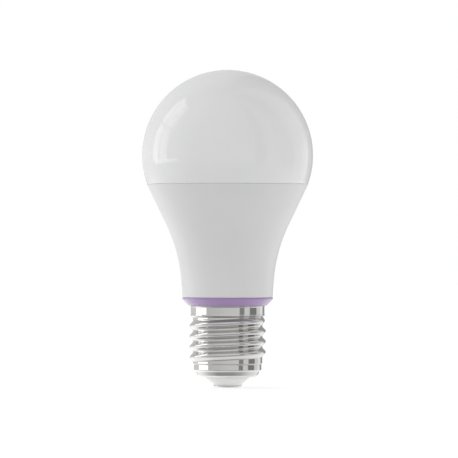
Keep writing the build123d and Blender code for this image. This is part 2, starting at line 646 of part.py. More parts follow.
def make_varistor_leads():
    """Its two leads, let into the coating."""
    leads = [lead(x, z, 0.9) for x, z in VARISTOR_LEADS]
    return Compound([piece - make_varistor() for piece in leads])


def make_fusible_resistor():
    """Fusible resistor on the back of the board, in series with the live wire."""
    bottom, top = FUSE_ENDS_Z
    return rod(FUSE_RADIUS, (0, FUSE_Y, bottom), (0, FUSE_Y, top))


def make_fusible_resistor_leads():
    """Its two leads, bent into the board from behind."""
    end_y = BOARD_FRONT_Y + 0.1
    return Compound([wire(LEAD_RADIUS, LEAD_BEND, [(x, FUSE_Y, start_z), (x, FUSE_Y, z), (x, end_y, z)])
                     for start_z, (x, z) in zip(FUSE_ENDS_Z, FUSE_LEADS)])


def choke_bar(radius, start_y, end_y):
    """A round bar on the choke's axis."""
    return rod(radius, (CHOKE_X, start_y, CHOKE_Z), (CHOKE_X, end_y, CHOKE_Z))


def make_choke_core():
    """Ferrite drum of the filter choke."""
    start, end = CHOKE_START_Y, CHOKE_END_Y
    groove_start, groove_end = start + 1.2, end - 1.0
    flanges = choke_bar(CHOKE_RADIUS, start, groove_start) + choke_bar(CHOKE_RADIUS, groove_end, end)
    tail_holes = [rod(LEAD_RADIUS, (x, start - 1, z), (x, start + 2, z)) for x, z in CHOKE_LEADS]
    return flanges + choke_bar(CHOKE_WAIST_RADIUS, start, end) - tail_holes


def make_choke_winding():
    """Copper winding on the drum, with its two tails through the lower flange and the board."""
    start, end = CHOKE_START_Y + 1.25, CHOKE_END_Y - 1.05
    coil = choke_bar(CHOKE_COIL_RADIUS, start, end) - choke_bar(CHOKE_WAIST_RADIUS, start, end)
    return coil + [lead(x, z, 0) for x, z in CHOKE_LEADS]


def make_transformer_core():
    """Ferrite E cores of the transformer, closed round the winding."""
    y0, y1 = TRANSFORMER_Y - CORE_HALF_DEPTH, TRANSFORMER_Y + CORE_HALF_DEPTH
    half_width, half_height = CORE_HALVES
    inner_x, outer_x, half_window = CORE_WINDOW
    yoke = block(-half_width, half_width, y0, y1, TRANSFORMER_Z - half_height, TRANSFORMER_Z + half_height)
    z0, z1 = TRANSFORMER_Z - half_window, TRANSFORMER_Z + half_window
    return yoke - [block(inner_x, outer_x, y0, y1, z0, z1), block(-outer_x, -inner_x, y0, y1, z0, z1)]


def make_transformer_bobbin():
    """Bobbin round the middle leg, with two flanges."""
    z0, z1 = TRANSFORMER_Z - BOBBIN_HALF_HEIGHT, TRANSFORMER_Z + BOBBIN_HALF_HEIGHT
    half_leg = CORE_WINDOW[0] + 0.05
    half_depth = CORE_HALF_DEPTH + 0.1
    y0, y1 = TRANSFORMER_Y - half_depth, TRANSFORMER_Y + half_depth
    sleeve = block(-BOBBIN_SLEEVE_HALF, BOBBIN_SLEEVE_HALF, y0 - 0.7, y1 + 0.7, z0, z1)
    floors = (z0, z1 - FLANGE_THICKNESS)
    flanges = [block(*BOBBIN_FLANGE, floor, floor + FLANGE_THICKNESS) for floor in floors]
    leg_space = block(-half_leg, half_leg, y0, y1, z0, z1)
    pin_sockets = [rod(LEAD_RADIUS, (x, -2, z), (x, 0, z)) for x, z in TRANSFORMER_LEADS]
    return sleeve + flanges - leg_space - pin_sockets


def make_transformer_winding():
    """Taped winding between the bobbin's flanges."""
    half_height = BOBBIN_HALF_HEIGHT - FLANGE_THICKNESS - 0.05
    z0, z1 = TRANSFORMER_Z - half_height, TRANSFORMER_Z + half_height
    coil = block(*WINDING, z0, z1)
    coil = fillet(coil.edges().filter_by(Axis.Z), WINDING_CORNER)
    half_x = BOBBIN_SLEEVE_HALF + 0.02
    half_y = CORE_HALF_DEPTH + 0.82
    return coil - block(-half_x, half_x, TRANSFORMER_Y - half_y, TRANSFORMER_Y + half_y, z0, z1)


def make_transformer_pins():
    """Eight pins from the bobbin into the board."""
    return Compound([lead(x, z, 0) for x, z in TRANSFORMER_LEADS])


def back_chip(x, z, width, length, height):
    """A flat part on the back of the driver board."""
    return block(x - width / 2, x + width / 2, BOARD_BACK_Y - height, BOARD_BACK_Y,
                 z - length / 2, z + length / 2)


def make_bridge_rectifier():
    """Mains bridge rectifier."""
    return back_chip(*BRIDGE_RECTIFIER)


def make_switching_controller():
    """Switching controller of the converter."""
    return back_chip(*SWITCHING_CONTROLLER)


def make_rectifier_diodes():
    """Two output diodes."""
    return Compound([back_chip(*place) for place in OUTPUT_DIODES])


def make_voltage_regulator():
    """Regulator for the radio's supply."""
    return back_chip(*VOLTAGE_REGULATOR)


def make_chip_resistors():
    """Surface-mounted resistors in two short rows."""
    return Compound([back_chip(*place) for place in CHIP_RESISTORS])


def make_chip_capacitors():
    """Surface-mounted capacitors."""
    return Compound([back_chip(*place) for place in CHIP_CAPACITORS])


# ---------------------------------------------------------------- radio board
def make_radio_board():
    """Small upright board whose upper half stands clear of the metal, under the dome."""
    board = block(-RADIO_HALF_WIDTH, RADIO_HALF_WIDTH, RADIO_BACK_Y, RADIO_FRONT_Y,
                  RADIO_BOTTOM_Z, RADIO_TOP_Z)
    radius = LEAD_RADIUS + HOLE_CLEARANCE
    return board - [rod(radius, (x, RADIO_BACK_Y, z), (x, RADIO_FRONT_Y, z)) for x, z in RADIO_LEADS]


def make_radio_pins():
    """Five pins between the driver board and the radio board."""
    end_y = RADIO_FRONT_Y + 0.4
    return Compound([rod(LEAD_RADIUS, (x, LEAD_END_Y, z), (x, end_y, z)) for x, z in RADIO_LEADS])


def make_radio_chip():
    """Radio and control chip."""
    return block(*RADIO_CHIP)


def make_radio_crystal():
    """Crystal on the other side of the radio board."""
    return block(*RADIO_CRYSTAL)


def make_radio_shield():
    """Tinned shield can over the radio chip."""
    y0, y1 = RADIO_FRONT_Y, RADIO_FRONT_Y + SHIELD_DEPTH
    half = SHIELD_HALF_WIDTH
    can = block(-half, half, y0, y1, SHIELD_BOTTOM_Z, SHIELD_TOP_Z)
    inner_half = half - SHIELD_SHEET
    return can - block(-inner_half, inner_half, y0, y1 - SHIELD_SHEET,
                       SHIELD_BOTTOM_Z + SHIELD_SHEET, SHIELD_TOP_Z - SHIELD_SHEET)


def make_radio_antenna():
    """Folded copper antenna on the board's upper end."""
    y0, y1 = RADIO_FRONT_Y, RADIO_FRONT_Y + ANTENNA_THICKNESS
    strips = []
    for index in range(ANTENNA_RUNS):
        z = ANTENNA_BOTTOM_Z + ANTENNA_RISE * index
        strips.append(block(-ANTENNA_REACH, ANTENNA_REACH, y0, y1, z, z + ANTENNA_STRIP))
        side = 1 if index % 2 == 0 else -1
        x0, x1 = sorted((side * (ANTENNA_REACH - ANTENNA_STRIP), side * ANTENNA_REACH))
        if index < ANTENNA_RUNS - 1:
            strips.append(block(x0, x1, y0, y1, z, z + ANTENNA_RISE + ANTENNA_STRIP))
    return strips[0] + strips[1:]


# ---------------------------------------------------------------- every piece, by the name of its file
PIECES = {
    "diffuser": make_diffuser,
    "diffuser_sealant": make_diffuser_sealant,
    "housing": make_housing,
    "trim_ring": make_trim_ring,
    "heat_sink_cup": make_heat_sink_cup,
    "insulating_liner": make_insulating_liner,
    "screw_shell": make_screw_shell,
    "base_insulator": make_base_insulator,
    "centre_contact": make_centre_contact,
    "live_lead_conductor": make_live_lead_conductor,
    "live_lead_insulation": make_live_lead_insulation,
    "neutral_lead_conductor": make_neutral_lead_conductor,
    "neutral_lead_insulation": make_neutral_lead_insulation,
    "heat_spreader_plate": make_heat_spreader_plate,
    "thermal_paste": make_thermal_paste,
    "led_board": make_led_board,
    "led_board_screws": make_led_board_screws,
    "warm_white_led_bodies": make_warm_white_led_bodies,
    "warm_white_led_phosphors": make_warm_white_led_phosphors,
    "cool_white_led_bodies": make_cool_white_led_bodies,
    "cool_white_led_phosphors": make_cool_white_led_phosphors,
    "rgb_led_bodies": make_rgb_led_bodies,
    "rgb_led_dies": make_rgb_led_dies,
    "rgb_led_lenses": make_rgb_led_lenses,
    "temperature_sensor": make_temperature_sensor,
    "led_socket": make_led_socket,
    "led_pins": make_led_pins,
    "driver_board": make_driver_board,
    "solder_joints": make_solder_joints,
    "input_capacitor_can": make_input_capacitor_can,
    "input_capacitor_sleeve": make_input_capacitor_sleeve,
    "input_capacitor_leads": make_input_capacitor_leads,
    "output_capacitor_can": make_output_capacitor_can,
    "output_capacitor_sleeve": make_output_capacitor_sleeve,
    "output_capacitor_leads": make_output_capacitor_leads,
    "film_capacitor": make_film_capacitor,
    "film_capacitor_leads": make_film_capacitor_leads,
    "varistor": make_varistor,
    "varistor_leads": make_varistor_leads,
    "fusible_resistor": make_fusible_resistor,
    "fusible_resistor_leads": make_fusible_resistor_leads,
    "choke_core": make_choke_core,
    "choke_winding": make_choke_winding,
    "transformer_core": make_transformer_core,
    "transformer_bobbin": make_transformer_bobbin,
    "transformer_winding": make_transformer_winding,
    "transformer_pins": make_transformer_pins,
    "bridge_rectifier": make_bridge_rectifier,
    "switching_controller": make_switching_controller,
    "rectifier_diodes": make_rectifier_diodes,
    "voltage_regulator": make_voltage_regulator,
    "chip_resistors": make_chip_resistors,
    "chip_capacitors": make_chip_capacitors,
    "radio_board": make_radio_board,
    "radio_pins": make_radio_pins,
    "radio_chip": make_radio_chip,
    "radio_crystal": make_radio_crystal,
    "radio_shield": make_radio_shield,
    "radio_antenna": make_radio_antenna,
}

os.makedirs("parts", exist_ok=True)
for node, make in PIECES.items():
    export_step(make(), f"parts/{node}.step")
    print("wrote", node)
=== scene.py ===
import json
from math import atan2, cos, hypot, pi, radians, sin, sqrt, tan

import bmesh
import bpy
from mathutils import Matrix, Vector


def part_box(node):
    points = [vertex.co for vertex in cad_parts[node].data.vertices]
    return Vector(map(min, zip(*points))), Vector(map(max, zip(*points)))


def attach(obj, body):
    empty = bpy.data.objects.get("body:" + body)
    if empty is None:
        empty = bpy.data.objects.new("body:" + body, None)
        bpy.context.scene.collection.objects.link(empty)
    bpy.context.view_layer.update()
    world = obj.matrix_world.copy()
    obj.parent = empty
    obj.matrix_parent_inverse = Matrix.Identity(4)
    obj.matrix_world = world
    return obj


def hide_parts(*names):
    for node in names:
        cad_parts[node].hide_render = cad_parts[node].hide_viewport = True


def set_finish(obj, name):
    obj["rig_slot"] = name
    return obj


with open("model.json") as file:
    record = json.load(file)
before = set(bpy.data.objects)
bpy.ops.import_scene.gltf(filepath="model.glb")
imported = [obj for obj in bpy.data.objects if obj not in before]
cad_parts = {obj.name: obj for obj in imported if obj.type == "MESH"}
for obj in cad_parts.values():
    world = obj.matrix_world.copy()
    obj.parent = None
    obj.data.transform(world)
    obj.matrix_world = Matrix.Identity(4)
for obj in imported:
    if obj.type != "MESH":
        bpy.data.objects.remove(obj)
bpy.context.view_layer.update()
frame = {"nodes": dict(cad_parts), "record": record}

MM = 0.001
NODES = frame["nodes"]


def lowest(node):
    """Lowest height of a CAD node, in millimetres."""
    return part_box(node)[0].z / MM


def highest(node):
    """Greatest height of a CAD node, in millimetres."""
    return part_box(node)[1].z / MM


def widest(node):
    """Half of a CAD node's width along X, in millimetres."""
    low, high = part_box(node)
    return (high.x - low.x) / 2 / MM


# ---------------------------------------------------------------- sizes, in millimetres
OVERALL = highest("diffuser")
GLOBE_RADIUS = 29.5
GLOBE_CENTRE_Z = OVERALL - GLOBE_RADIUS
WALL = 1.5                       # of the dome and the housing
LIP = 0.12                       # the dome's rounded lip at the seam
SPIGOT_OUTER_RADIUS = 25.3
SPIGOT_INNER_RADIUS = 23.9
SPIGOT_BOTTOM_Z = lowest("diffuser")
SEAM_Z = highest("housing")
SEAM_RADIUS = widest("housing")
SEAM_EDGE = 0.22                 # the housing's rounded edge at the seam
MOUTH_WALL = 1.45                # the housing's wall at its mouth
CONE_END_Z = 59.7
CONE_END_RADIUS = 22.8
WAIST_RADIUS = 15.6
WAIST_CURVE = [(20.2, 54.2), (18.15, 48.6), (16.8, 43.1), (16.0, 37.6)]    # radius, height
HOUSING_FLOOR_Z = 32.6
HOUSING_GAP = 0.03               # between the housing and the ring below it
NECK_TOP_RADIUS = 12.35
NECK_RADIUS = 11.6
NECK_BORE = 10.55
NECK_STEP_Z = (24.9, 25.2)       # where the neck narrows
NECK_BOTTOM_Z = lowest("housing")
RING_TOP_Z = highest("trim_ring")
RING_BOTTOM_Z = lowest("trim_ring")
RING_UPPER_RADIUS = widest("trim_ring")
RING_LOWER_RADIUS = 13.5
RING_BORE = 12.4
RING_LAND = 0.5                  # the ring's upright part above its bevel
SHELL_TOP_Z = highest("screw_shell")
SHELL_FOOT_Z = lowest("screw_shell")
SHEET = 0.3                      # the shell's thickness
THREAD_PITCH = 25.4 / 7
THREAD_ROOT_RADIUS = 12.0
THREAD_CREST_RADIUS = 13.2
FIRST_CREST_Z = 10.5
THREAD_START_Z = 9.4
THREAD_END_Z = 24.0
THREAD_RUN_OUT = 0.34            # of a turn, at each end of the thread
SHELL_FOOT_RADIUS = 9.7
COLLAR_RADIUS = 11.7
COLLAR_Z = (6.2, 7.9)            # of its two edges
CORE_Z = (8.35, 24.35)           # of the ends of the cylinder that carries the thread
SKIRT_RADIUS = 12.75
SKIRT_Z = (25.3, 27.7)
INSULATOR_RADIUS = 7.7
INSULATOR_LIP_RADIUS = 5.1
FLANGE_RADIUS = 8.7              # the insulator's flange, inside the shell
FLANGE_Z = (4.05, 6.0)
CONTACT_RADIUS = 4.8
CONTACT_FACE_RADIUS = 4.15
CONTACT_GROOVE = ((2.9, 0.0, 0.1), (3.05, 0.07, 0.1), (3.2, 0.0, 0.1))     # radius, height, fillet
CONTACT_TOP_Z = 0.8
SHANK_RADIUS = 1.3
SHANK_BORE = 0.55
SHANK_Z = (1.1, 5.6)             # of its bore's floor and its top

ROUND_SEGMENTS = 224             # around the dome, the housing and the ring
SHELL_SEGMENTS = 288
INSULATOR_SEGMENTS = 160
CONTACT_SEGMENTS = 128


# ---------------------------------------------------------------- outlines
def rounded(corners, steps=5):
    """Points of a line through (radius, height, fillet) corners, with an arc at each filleted one."""
    points = []
    count = len(corners)
    for index, (r, z, fillet) in enumerate(corners):
        here = Vector((r, z))
        if fillet == 0 or index in (0, count - 1):
            points.append((r, z))
            continue
        before = Vector(corners[index - 1][:2]) - here
        after = Vector(corners[index + 1][:2]) - here
        half_angle = before.angle(after) / 2
        reach = fillet / tan(half_angle)
        bisector = (before.normalized() + after.normalized()).normalized()
        centre = here + bisector * (fillet / sin(half_angle))
        start = here + before.normalized() * reach - centre
        end = here + after.normalized() * reach - centre
        sweep = start.angle_signed(end)
        for step in range(steps + 1):
            angle = -sweep * step / steps
            points.append(tuple(centre + Matrix.Rotation(angle, 2) @ start))
    return points


def arc(centre_z, radius, start, end, steps):
    """Points of a circular arc whose centre is on the axis, by angle up from the horizontal."""
    return [(radius * cos(start + (end - start) * step / steps),
             centre_z + radius * sin(start + (end - start) * step / steps)) for step in range(steps + 1)]


def divided(points, longest):
    """The same line with extra points wherever a run is longer than the given length."""
    result = [points[0]]
    for (r0, z0), (r1, z1) in zip(points, points[1:]):
        parts = max(1, round(hypot(r1 - r0, z1 - z0) / longest))
        shares = [part / parts for part in range(1, parts + 1)]
        result += [(r0 + (r1 - r0) * share, z0 + (z1 - z0) * share) for share in shares]
    return result


def catmull(points, steps):
    """A smooth line through the points."""
    line = [points[0]]
    ends = [points[0], *points, points[-1]]
    for p0, p1, p2, p3 in zip(ends, ends[1:], ends[2:], ends[3:]):
        for step in range(1, steps + 1):
            t = step / steps
            line.append(tuple(0.5 * (2 * b + (c - a) * t + (2 * a - 5 * b + 4 * c - d) * t * t
                                     + (3 * b - a - 3 * c + d) * t ** 3)
                              for a, b, c, d in zip(p0, p1, p2, p3)))
    return line


# ---------------------------------------------------------------- meshes
def finish_piece(bm, name, node, slot, sharp=40):
    """Turns a bmesh into a piece that rides on the root body and stands for a CAD node."""
    bmesh.ops.remove_doubles(bm, verts=bm.verts, dist=1e-7)
    bmesh.ops.recalc_face_normals(bm, faces=bm.faces)
    mesh = bpy.data.meshes.new(name)
    bm.to_mesh(mesh)
    bm.free()
    mesh.shade_smooth()
    mesh.set_sharp_from_angle(angle=radians(sharp))
    piece = bpy.data.objects.new(name, mesh)
    bpy.context.scene.collection.objects.link(piece)
    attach(piece, "root")
    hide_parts(node)
    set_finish(piece, slot)
    return piece


def turned_mesh(outline, segments, radius_at=None, closed=True):
    """A bmesh turned from an outline of (radius, height) points, whose radius may change with the angle."""
    bm = bmesh.new()
    rings = []
    for r, z in outline:
        if r < 1e-6:
            rings.append([bm.verts.new((0, 0, z * MM))] * segments)
            continue
        ring = []
        for index in range(segments):
            angle = 2 * pi * index / segments
            radius = r if radius_at is None else radius_at(r, z, angle)
            ring.append(bm.verts.new((radius * cos(angle) * MM, radius * sin(angle) * MM, z * MM)))
        rings.append(ring)
    pairs = list(zip(rings, rings[1:]))
    if closed:
        pairs.append((rings[-1], rings[0]))
    for lower, upper in pairs:
        for index in range(segments):
            following = (index + 1) % segments
            corners = [lower[index], lower[following], upper[following], upper[index]]
            unique = list(dict.fromkeys(corners))
            if len(unique) > 2:
                bm.faces.new(unique)
    return bm


# ---------------------------------------------------------------- the dome
def make_dome():
    """Opal dome with a fine lip at its mouth and a spigot inside the housing."""
    drop = GLOBE_CENTRE_Z - SEAM_Z
    rim_angle = -atan2(drop - LIP, sqrt(GLOBE_RADIUS ** 2 - drop ** 2))
    inner = GLOBE_RADIUS - WALL
    inner_angle = -atan2(drop - WALL, sqrt(inner ** 2 - (drop - WALL) ** 2))
    outside = arc(GLOBE_CENTRE_Z, GLOBE_RADIUS, rim_angle, pi / 2, 120)
    inside = arc(GLOBE_CENTRE_Z, inner, pi / 2, inner_angle, 60)
    rim = rounded([(inside[-1][0], SEAM_Z + WALL, 0), (SPIGOT_INNER_RADIUS, SEAM_Z + WALL, 0.4),
                   (SPIGOT_INNER_RADIUS, SPIGOT_BOTTOM_Z, 0.3), (SPIGOT_OUTER_RADIUS, SPIGOT_BOTTOM_Z, 0.3),
                   (SPIGOT_OUTER_RADIUS, SEAM_Z + 0.05, 0.1), (outside[0][0] - LIP, SEAM_Z + 0.02, 0)])
    bm = turned_mesh(outside + inside[:-1] + rim, ROUND_SEGMENTS)
    return finish_piece(bm, "dome", "diffuser", "opal_plastic")


# ---------------------------------------------------------------- the housing
def housing_line(inset):
    """The housing's outside line from the seam down, moved in by inset."""
    cone = divided([(SEAM_RADIUS, SEAM_Z), (CONE_END_RADIUS, CONE_END_Z)], 3.5)
    waist = [*WAIST_CURVE, (WAIST_RADIUS, RING_TOP_Z)]
    return [(r - inset, z) for r, z in catmull(cone + waist, 8)]


def make_body():
    """Flared white housing with its neck and floor as one shell."""
    top_edge = [(SEAM_RADIUS - MOUTH_WALL, SEAM_Z), (SEAM_RADIUS - SEAM_EDGE, SEAM_Z)]
    for step in range(1, 5):
        angle = pi / 2 * (1 - step / 5)
        top_edge.append((SEAM_RADIUS - SEAM_EDGE + SEAM_EDGE * cos(angle) * 0.86,
                         SEAM_Z - SEAM_EDGE + SEAM_EDGE * sin(angle)))
    outside = [(r, z) for r, z in housing_line(0) if RING_TOP_Z + 0.3 < z < SEAM_Z - SEAM_EDGE]
    foot_z = RING_TOP_Z + HOUSING_GAP
    step_bottom, step_top = NECK_STEP_Z
    inner_waist = WAIST_RADIUS - WALL
    lower = rounded([(WAIST_RADIUS, RING_TOP_Z + 0.3, 0), (WAIST_RADIUS, foot_z, 0.22),
                     (NECK_TOP_RADIUS, foot_z, 0.1), (NECK_TOP_RADIUS, step_top, 0.1),
                     (NECK_RADIUS, step_bottom, 0.1), (NECK_RADIUS, NECK_BOTTOM_Z, 0.3),
                     (NECK_BORE, NECK_BOTTOM_Z, 0.3), (NECK_BORE, HOUSING_FLOOR_Z, 0.3),
                     (inner_waist, HOUSING_FLOOR_Z, 0.4), (inner_waist, HOUSING_FLOOR_Z + 1.2, 0)])
    inside = [(r, z) for r, z in reversed(housing_line(WALL)) if HOUSING_FLOOR_Z + 1.3 < z < SEAM_Z - 0.1]
    bm = turned_mesh(top_edge + outside + lower + inside, ROUND_SEGMENTS)
    return finish_piece(bm, "housing_body", "housing", "white_plastic")


def make_ring():
    """Purple ring with a narrow land above a long straight bevel."""
    top_edge = [(RING_BORE, RING_TOP_Z, 0), (RING_UPPER_RADIUS - 0.25, RING_TOP_Z, 0.1),
                (RING_UPPER_RADIUS, RING_TOP_Z - 0.22, 0.12),
                (RING_UPPER_RADIUS, RING_TOP_Z - RING_LAND, 0.2)]
    bottom_edge = [(RING_LOWER_RADIUS + 0.1, RING_BOTTOM_Z + 0.12, 0.1),
                   (RING_LOWER_RADIUS, RING_BOTTOM_Z, 0.05), (RING_BORE, RING_BOTTOM_Z, 0)]
    bm = turned_mesh(divided(rounded(top_edge + bottom_edge), 0.5), ROUND_SEGMENTS)
    return finish_piece(bm, "purple_ring", "trim_ring", "purple_plastic")


# ---------------------------------------------------------------- the screw cap
def smooth(value):
    """0 below 0, 1 above 1 and a smooth step between."""
    value = min(1.0, max(0.0, value))
    return value * value * (3 - 2 * value)


def thread_height(z, angle):
    """Height of the thread's ridge over the core at a point of the shell, in millimetres."""
    turns = (z - FIRST_CREST_Z) / THREAD_PITCH - (angle - pi) / (2 * pi)
    nearest = round(turns)
    crest_z = z - (turns - nearest) * THREAD_PITCH
    along = (crest_z - THREAD_START_Z) / THREAD_PITCH
    left = (THREAD_END_Z - crest_z) / THREAD_PITCH
    presence = smooth(along / THREAD_RUN_OUT) * smooth(left / THREAD_RUN_OUT)
    wave = 0.5 + 0.5 * cos(2 * pi * (turns - nearest))
    return (THREAD_CREST_RADIUS - THREAD_ROOT_RADIUS) * wave * presence


def shell_line(inset):
    """The rolled shell's line from the foot's hole up to the rim, moved in by inset."""
    foot = [(INSULATOR_RADIUS + 0.05, SHELL_FOOT_Z + inset, 0),
            (SHELL_FOOT_RADIUS - inset, SHELL_FOOT_Z + inset, 0.5), (10.5 - inset, 4.3 + inset, 0.4),
            (11.0 - inset, 5.6 + inset, 0.2), (11.5 - inset, 5.9 + inset, 0.1)]
    collar = [(COLLAR_RADIUS - inset, COLLAR_Z[0] + inset, 0.15), (COLLAR_RADIUS - inset, COLLAR_Z[1], 0.1),
              (COLLAR_RADIUS - 0.08 - inset, 8.05, 0.08), (THREAD_ROOT_RADIUS - inset, CORE_Z[0], 0.15)]
    skirt = [(THREAD_ROOT_RADIUS - inset, CORE_Z[1], 0.25), (SKIRT_RADIUS + 0.1 - inset, 24.85, 0.15),
             (SKIRT_RADIUS - inset, SKIRT_Z[0], 0.3), (SKIRT_RADIUS - inset, SKIRT_Z[1], 0.3),
             (SKIRT_RADIUS + 0.12 - inset, SHELL_TOP_Z - 0.12, 0)]
    return rounded(foot + collar + skirt)


def make_shell():
    """Rolled nickel-plated shell of thin sheet with a right-handed thread."""
    outside = divided(shell_line(0), 0.13)
    inside = divided(shell_line(SHEET), 0.3)
    rim_r, rim_z = outside[-1]
    rim = [(rim_r - 0.02, SHELL_TOP_Z - 0.03), (rim_r - SHEET / 2, SHELL_TOP_Z),
           (rim_r - SHEET + 0.02, SHELL_TOP_Z - 0.03)]

    def radius_at(r, z, angle):
        return r + thread_height(z, angle)

    bm = turned_mesh(outside + rim + inside[::-1], SHELL_SEGMENTS, radius_at)
    return finish_piece(bm, "threaded_shell", "screw_shell", "nickel_plate", sharp=60)


def make_insulator():
    """White insulator: a short lip round the contact, a cone, and a flange inside the shell."""
    flange_bottom, flange_top = FLANGE_Z
    outline = rounded([(SHANK_RADIUS, CONTACT_TOP_Z, 0), (INSULATOR_LIP_RADIUS - 0.08, CONTACT_TOP_Z, 0.1),
                       (INSULATOR_LIP_RADIUS, 1.4, 0.2), (6.4, 2.36, 3.0), (7.6, 3.36, 0.3),
                       (INSULATOR_RADIUS, 3.6, 0.1), (INSULATOR_RADIUS, flange_bottom, 0.05),
                       (FLANGE_RADIUS, flange_bottom, 0.1), (FLANGE_RADIUS, flange_top, 0.2),
                       (SHANK_RADIUS, flange_top, 0)])
    bm = turned_mesh(divided(outline, 0.4), INSULATOR_SEGMENTS)
    return finish_piece(bm, "insulator", "base_insulator", "insulator_plastic")


def make_contact():
    """Bevelled contact disc with a shallow ring pressed in its face, and its tubular shank."""
    bore_z, top_z = SHANK_Z
    face = [(0, 0.12, 0), (0.9, 0.12, 0.3), (1.25, 0.0, 0.2), *CONTACT_GROOVE, (CONTACT_FACE_RADIUS, 0.0, 0.2)]
    bevel = [(4.72, 0.42, 0.15), (CONTACT_RADIUS, 0.62, 0.06), (4.74, CONTACT_TOP_Z, 0.05)]
    shank = [(SHANK_RADIUS, CONTACT_TOP_Z, 0.1), (SHANK_RADIUS, top_z, 0.15), (SHANK_BORE, top_z, 0.1),
             (SHANK_BORE, bore_z, 0), (0, bore_z, 0)]
    outline = rounded(face + bevel + shank)
    bm = turned_mesh(divided(outline, 0.3), CONTACT_SEGMENTS, closed=False)
    return finish_piece(bm, "contact", "centre_contact", "nickel_plate")


# ---------------------------------------------------------------- node trees
MIX_FACTOR, MIX_FIRST, MIX_SECOND, MIX_RESULT = 0, 6, 7, 2     # a colour Mix node's sockets by index


def add_node(tree, kind, inputs=None, **properties):
    """A new node with its properties, and each input linked to a socket or set to a value."""
    node = tree.nodes.new(kind)
    for key, value in properties.items():
        setattr(node, key, value)
    for key, value in (inputs or {}).items():
        if isinstance(value, bpy.types.NodeSocket):
            tree.links.new(value, node.inputs[key])
        else:
            node.inputs[key].default_value = value
    return node


def mix_colours(tree, factor, first, second):
    """A colour between two, each a socket or three channels, by a 0 to 1 factor."""
    colours = [value if isinstance(value, bpy.types.NodeSocket) else (*value, 1) for value in (first, second)]
    inputs = {MIX_FACTOR: factor, MIX_FIRST: colours[0], MIX_SECOND: colours[1]}
    return add_node(tree, "ShaderNodeMix", inputs, data_type="RGBA").outputs[MIX_RESULT]


# ---------------------------------------------------------------- materials
class Surface:
    """A node material that starts from object coordinates and a Principled shader."""

    def __init__(self, name, **constants):
        self.material = bpy.data.materials.new(name)
        self.material.use_nodes = True
        self.tree = self.material.node_tree
        self.shader = self.tree.nodes["Principled BSDF"]
        self.place = self.add("ShaderNodeTexCoord").outputs["Object"]
        for socket, value in constants.items():
            self.shader.inputs[socket.replace("_", " ")].default_value = value

    def add(self, kind, inputs=None, **properties):
        return add_node(self.tree, kind, inputs, **properties)

    def link(self, output, socket):
        self.tree.links.new(output, self.shader.inputs[socket])

    def grain(self, size, detail=3.0, stretch=(1, 1, 1), roughness=0.55):
        """Noise from 0 to 1 whose features are about the given size, in metres."""
        scale = tuple(share / size for share in stretch)
        scaled = self.add("ShaderNodeMapping", {"Vector": self.place, "Scale": scale})
        settings = {"Vector": scaled.outputs["Vector"], "Scale": 1.0, "Detail": detail,
                    "Roughness": roughness}
        return self.add("ShaderNodeTexNoise", settings).outputs["Fac"]

    def rings(self, size, detail=2.0):
        """Noise that changes along the axis and outwards only, as turning marks do."""
        axes = self.add("ShaderNodeSeparateXYZ", {"Vector": self.place})
        flat = self.add("ShaderNodeCombineXYZ", {"X": axes.outputs["X"], "Y": axes.outputs["Y"]})
        outwards = self.add("ShaderNodeVectorMath", {0: flat.outputs["Vector"]}, operation="LENGTH")
        along = self.add("ShaderNodeMath", {0: outwards.outputs["Value"], 1: axes.outputs["Z"]},
                         operation="ADD")
        scaled = self.add("ShaderNodeMath", {0: along.outputs["Value"], 1: 1 / size}, operation="MULTIPLY")
        settings = {"W": scaled.outputs["Value"], "Scale": 1.0, "Detail": detail}
        return self.add("ShaderNodeTexNoise", settings, noise_dimensions="1D").outputs["Fac"]

    def spread(self, value, low, high):
        """Noise carried to a new range, cut off where it is rarely found."""
        settings = {"Value": value, "From Min": 0.3, "From Max": 0.7, "To Min": low, "To Max": high}
        return self.add("ShaderNodeMapRange", settings).outputs["Result"]

    def blend(self, factor, first, second):
        return mix_colours(self.tree, factor, first, second)

    def bump(self, height, distance, strength=1.0, under=None):
        """Fine relief of the given depth, in metres."""
        inputs = {"Height": height, "Distance": distance, "Strength": strength}
        if under is not None:
            inputs["Normal"] = under
        return self.add("ShaderNodeBump", inputs).outputs["Normal"]

    def edges(self, low, high):
        """1 on raised edges and crests, 0 elsewhere."""
        pointiness = self.add("ShaderNodeNewGeometry").outputs["Pointiness"]
        settings = {"Value": pointiness, "From Min": low, "From Max": high, "To Min": 0.0, "To Max": 1.0}
        return self.add("ShaderNodeMapRange", settings).outputs["Result"]


def tinted(colour, factor):
    """A colour made lighter or darker."""
    return tuple(min(1.0, channel * factor) for channel in colour)


def moulded(name, colour, rough=(0.35, 0.5), grain=0.4, relief=0.01, variation=0.04, **constants):
    """Moulded plastic: faint tone changes and a fine texture. Sizes in millimetres."""
    surface = Surface(name, **constants)
    broad = surface.grain(12 * MM)
    fine = surface.grain(grain * MM, detail=4)
    dark, light = tinted(colour, 1 - variation), tinted(colour, 1 + variation / 2)
    surface.link(surface.blend(surface.spread(broad, 0, 1), dark, light), "Base Color")
    surface.link(surface.spread(fine, *rough), "Roughness")
    surface.link(surface.bump(fine, relief * MM), "Normal")
    return surface.material


def metal(name, colour, rough=(0.2, 0.35), size=0.2, marks="rings"):
    """Bare or plated metal with turning marks or an even grain, of a size in millimetres."""
    surface = Surface(name, Metallic=1.0)
    lines = surface.rings(size * MM) if marks == "rings" else surface.grain(size * MM, detail=4)
    cloud = surface.grain(5 * MM)
    colour_out = surface.blend(surface.spread(cloud, 0, 1), tinted(colour, 0.88), colour)
    surface.link(colour_out, "Base Color")
    surface.link(surface.spread(lines, *rough), "Roughness")
    surface.link(surface.bump(lines, 0.004 * MM), "Normal")
    return surface.material


